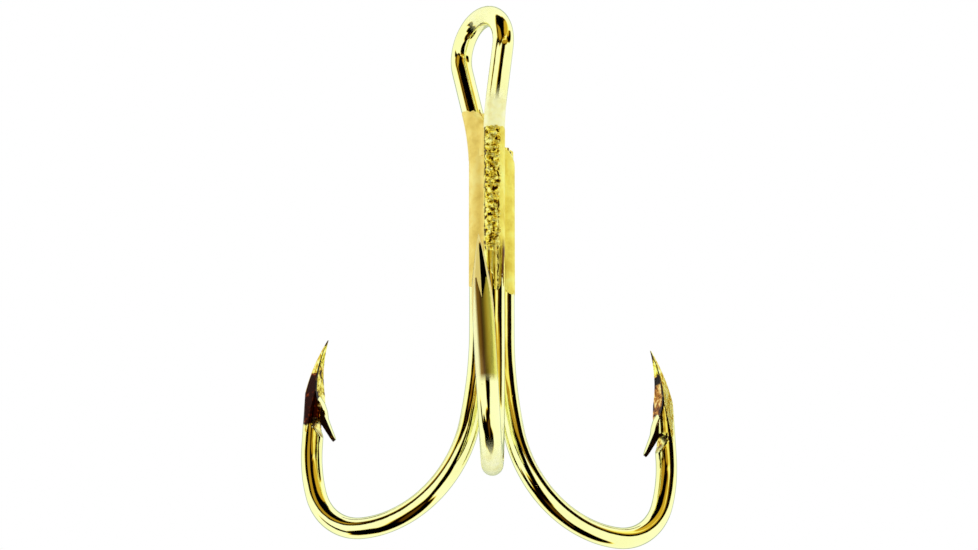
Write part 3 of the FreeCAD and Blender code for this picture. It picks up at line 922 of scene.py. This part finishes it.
def braze_metal():
    """Tan braze metal under the plating: matte and mottled, or bright and pitted where it is lumpy."""
    graph = surface("braze_metal")
    place = graph.place()
    lumpy, streaky, shade_and_pit_lines = graph.parts(graph.attribute("wear_and_painted_light"))
    mottle = graph.noise(place, 900.0, 5.0, 0.6)
    pits = graph.noise(place, 3600.0, 3.0, 0.6, 0.5)
    streaks = graph.noise(graph.stretched(place, (1.0, 1.0, 0.07)), 3000.0, 3.0, 0.6)
    tan = graph.ramp(mottle, [(0.32, (0.82, 0.61, 0.13)), (0.5, (0.95, 0.75, 0.19)),
                              (0.68, (1.0, 0.86, 0.28))])
    gold = graph.ramp(mottle, [(0.32, (0.84, 0.68, 0.09)), (0.5, (0.98, 0.87, 0.16)),
                               (0.68, (1.0, 0.98, 0.26))])
    matte = graph.mixed(graph.spread(graph.parts(place)[0], 0.00002, 0.00014), tan, gold)
    bright = graph.ramp(pits, [(0.38, (0.02, 0.005, 0.0)), (0.43, (0.42, 0.20, 0.0)),
                               (0.48, (1.0, 0.80, 0.04)), (0.62, (1.0, 0.97, 0.30))])
    brown = graph.ramp(streaks, [(0.41, (0.10, 0.03, 0.0)), (0.47, (0.50, 0.28, 0.0)),
                                 (0.53, (0.98, 0.84, 0.06)), (0.64, (1.0, 0.97, 0.30))])
    colour = graph.mixed(lumpy, graph.mixed(streaky, matte, brown), bright)
    # Painted shade: dark pits in the lines beside the lumpy stretch.
    painted_shade_pits = graph.times(graph.spread(shade_and_pit_lines, 0.2, 0.6), graph.spread(pits, 0.58, 0.48))
    worked = graph.math("MAXIMUM", lumpy, streaky)
    dull = graph.spread(mottle, 0.3, 0.7, 0.60, 0.42)
    grain = graph.bump(graph.noise(place, 4000.0, 3.0), 0.000010)
    return graph.shaded({"Base Color": graph.mixed(painted_shade_pits, colour, (0.07, 0.03, 0.0, 1.0)),
                         "Metallic": graph.spread(worked, 0.0, 1.0, 0.25, 0.7),
                         "Roughness": graph.times(dull, graph.spread(worked, 0.0, 1.0, 1.0, 0.45)),
                         "Specular IOR Level": 0.1,
                         "Normal": graph.bump(graph.times(pits, lumpy), 0.00004, 1.0, grain)})


# Studio

# Dark cards round the hook: the azimuths of a card's left and right edge and the elevations of its bottom
# and top edge, in degrees, and its slant, in degrees of azimuth per degree of elevation. Azimuth 0 is
# towards -Y, which is where the viewer stands, and 90 is towards +X. A card that goes on past straight
# down has its bottom edge under -90.
CARDS = [
    (-65, 55, 20, 75, 0.9),          # wide, high in front
    (-65, 15, 40, 75, 0.3),          # and a second one that widens it at the upper left
    (-55, -20, 10, 32, -1.2),        # left of the viewer
    (-80, 10, 15, 22, -0.7),         # a strip across that one
    (40, 90, 10, 35, 0.9),           # on the right
    (-10, 40, 4, 13, -0.1),          # a strip in front, just above the horizon
    (-5, 20, -30, 10, 0.4),          # where the viewer stands
    (-20, 15, -45, 5, -0.1),         # a second one there, which reaches lower
    (-100, -85, -85, -5, 0.0),       # a tall one on the left
    (-85, -60, -65, -30, -0.1),      # a small one beside it
    (-135, -35, -110, -45, 0.0),     # on the floor at the left
    (-40, 25, -120, -35, -0.4),      # and on the floor in front
]
# Warm panels between them, and how bright each is
WARM_PANELS = [
    (0.72, (-60, -25, 15, 40, -0.9)),
    (0.72, (-10, 45, 6, 20, -0.6)),
    (0.60, (-45, 10, -120, -50, 0.1)),
    (0.75, (10, 80, 20, 65, 0.5)),
]
CARD_SOFTNESS = 0.2          # how far the edges fade each way, as a share of half the card's size
# A grey-green backdrop behind the hook. Seen from the front only the wire's outlines mirror it, and seen
# from behind it is a stripe along each wire.
BACKDROP = (144, 216, -16, 56, 0.0)
BACKDROP_SOFTNESS = 0.1
BACKDROP_COLOUR = (0.42, 0.50, 0.42, 1.0)
DARK_FLOOR_BELOW = -62.0
LIGHT = 1.08
SOFT_LIGHT = 1.0             # the even light that falls on matte surfaces
WHITE = (1.0, 1.0, 1.0, 1.0)


def patch(graph, azimuth, elevation, card, softness=CARD_SOFTNESS):
    """1 inside a rounded, slanted rectangle of directions, fading to 0 over its soft edge."""
    left, right, bottom, top, slant = card
    above = graph.minus(elevation, (bottom + top) / 2)
    turn = graph.minus(graph.minus(azimuth, (left + right) / 2), graph.times(above, slant))
    turn = graph.node("ShaderNodeMath", {0: turn, 1: 180.0, 2: -180.0}, operation="WRAP").outputs[0]
    wide = graph.math("ABSOLUTE", graph.math("DIVIDE", turn, (right - left) / 2))
    high = graph.math("ABSOLUTE", graph.math("DIVIDE", above, (top - bottom) / 2))
    away = graph.plus(graph.math("POWER", wide, 3.0), graph.math("POWER", high, 3.0))
    return graph.spread(graph.math("POWER", away, 1 / 3), 1 - softness, 1 + softness, 1.0, 0.0)


def studio():
    """A white tent with dark cards in it, which is what polished metal needs to show its shape."""
    world = bpy.data.worlds.new("studio")
    world.use_nodes = True
    graph = Graph(world.node_tree)
    x, y, z = graph.parts(graph.node("ShaderNodeTexCoord").outputs["Generated"])
    azimuth = graph.times(graph.math("ARCTAN2", x, graph.times(y, -1.0)), 180 / math.pi)
    elevation = graph.times(graph.math("ARCSINE", z), 180 / math.pi)
    light = graph.spread(elevation, DARK_FLOOR_BELOW - 5, DARK_FLOOR_BELOW + 5)
    for card in CARDS:
        light = graph.times(light, graph.minus(1.0, patch(graph, azimuth, elevation, card)))
    for brightness, panel in WARM_PANELS:
        here = patch(graph, azimuth, elevation, panel)
        light = graph.math("MAXIMUM", light, graph.times(here, brightness))
        light = graph.times(light, graph.minus(1.0, graph.times(here, 1.0 - brightness)))
    colour = graph.ramp(light, [(0.0, (0.0, 0.0, 0.0)), (0.3, (0.012, 0.003, 0.0)),
                                (0.45, (0.20, 0.08, 0.005)), (0.6, (0.72, 0.47, 0.05)),
                                (0.75, (1.0, 0.95, 0.35)), (0.92, (0.97, 1.0, 1.0))])
    behind = patch(graph, azimuth, elevation, BACKDROP, BACKDROP_SOFTNESS)
    colour = graph.mixed(behind, colour, BACKDROP_COLOUR)
    mirrored, soft, plain = (
        graph.node("ShaderNodeBackground", {"Color": tint, "Strength": strength}).outputs[0]
        for tint, strength in ((colour, LIGHT), (WHITE, SOFT_LIGHT), (WHITE, 1.0)))
    ray = graph.node("ShaderNodeLightPath").outputs
    lit = graph.node("ShaderNodeMixShader", {0: ray["Is Diffuse Ray"], 1: mirrored, 2: soft}).outputs[0]
    seen = graph.node("ShaderNodeMixShader", {0: ray["Is Camera Ray"], 1: lit, 2: plain}).outputs[0]
    graph.node("ShaderNodeOutputWorld", {"Surface": seen})
    bpy.context.scene.world = world


CAMERA_AZIMUTH = 1.61        # degrees to the left of straight in front
CAMERA_ELEVATION = -20.82    # below the hook, looking up
CAMERA_DISTANCE = 0.3925
CAMERA_LENS = 220.9
CAMERA_AIM = (0.444, -0.227, -15.995)    # in millimetres: about the middle of the hook
SENSOR_WIDTH = 36.0
FLOOR_REACH = 3.0            # in metres
FLOOR_HEIGHT = -0.32


def camera():
    """A long lens, below the hook and in front of it."""
    data = bpy.data.cameras.new("camera")
    data.lens = CAMERA_LENS
    data.sensor_width = SENSOR_WIDTH
    data.clip_start = 0.01
    data.clip_end = 10.0
    made = bpy.data.objects.new("camera", data)
    bpy.context.scene.collection.objects.link(made)
    turn, rise = math.radians(CAMERA_AZIMUTH), math.radians(CAMERA_ELEVATION)
    back = Vector((-math.sin(turn) * math.cos(rise), -math.cos(turn) * math.cos(rise), math.sin(rise)))
    made.location = Vector(CAMERA_AIM) * MM + back * CAMERA_DISTANCE
    made.rotation_euler = (-back).to_track_quat("-Z", "Y").to_euler()
    bpy.context.scene.camera = made


def floor():
    """A plain pale floor, far below the hook, that polished metal doesn't mirror."""
    mesh = bpy.data.meshes.new("floor")
    corners = ((-1, -1), (1, -1), (1, 1), (-1, 1))
    points = [(x * FLOOR_REACH, y * FLOOR_REACH, FLOOR_HEIGHT) for x, y in corners]
    mesh.from_pydata(points, [], [(0, 1, 2, 3)])
    made = bpy.data.objects.new("floor", mesh)
    bpy.context.scene.collection.objects.link(made)
    pale = {"Metallic": 0.0, "Base Color": (0.9, 0.9, 0.9, 1.0), "Roughness": 0.8}
    mesh.materials.append(surface("pale_floor").shaded(pale))
    made.visible_glossy = False


def main():
    bpy.context.scene.view_settings.view_transform = "Standard"
    studio()
    camera()
    floor()
    wire_materials = [polished_gold(), ground_gold(), hollow_gold(), cut_gold(), torn_gold(), outer_gold()]
    for piece, node in ((double_hook(wire_materials), "double_hook_wire"),
                        (single_hook(wire_materials), "single_hook_wire")):
        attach(piece, "root")
        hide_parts(node)
    braze = braze_metal()
    left, front, right = ("left", LEFT_SHANK), ("front", FRONT_SHANK), ("right", RIGHT_SHANK)
    for piece, node in ((crotch(braze), "braze_crotch"),
                        (seam("seam_left_skin", left, front, braze), "braze_seam_left"),
                        (seam("seam_right_skin", front, right, braze), "braze_seam_right"),
                        (seam("seam_rear_skin", right, left, braze), "braze_seam_rear")):
        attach(piece, "root")
        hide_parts(node)
    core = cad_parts["braze_core"]
    core.data.materials.clear()
    core.data.materials.append(braze)


main()
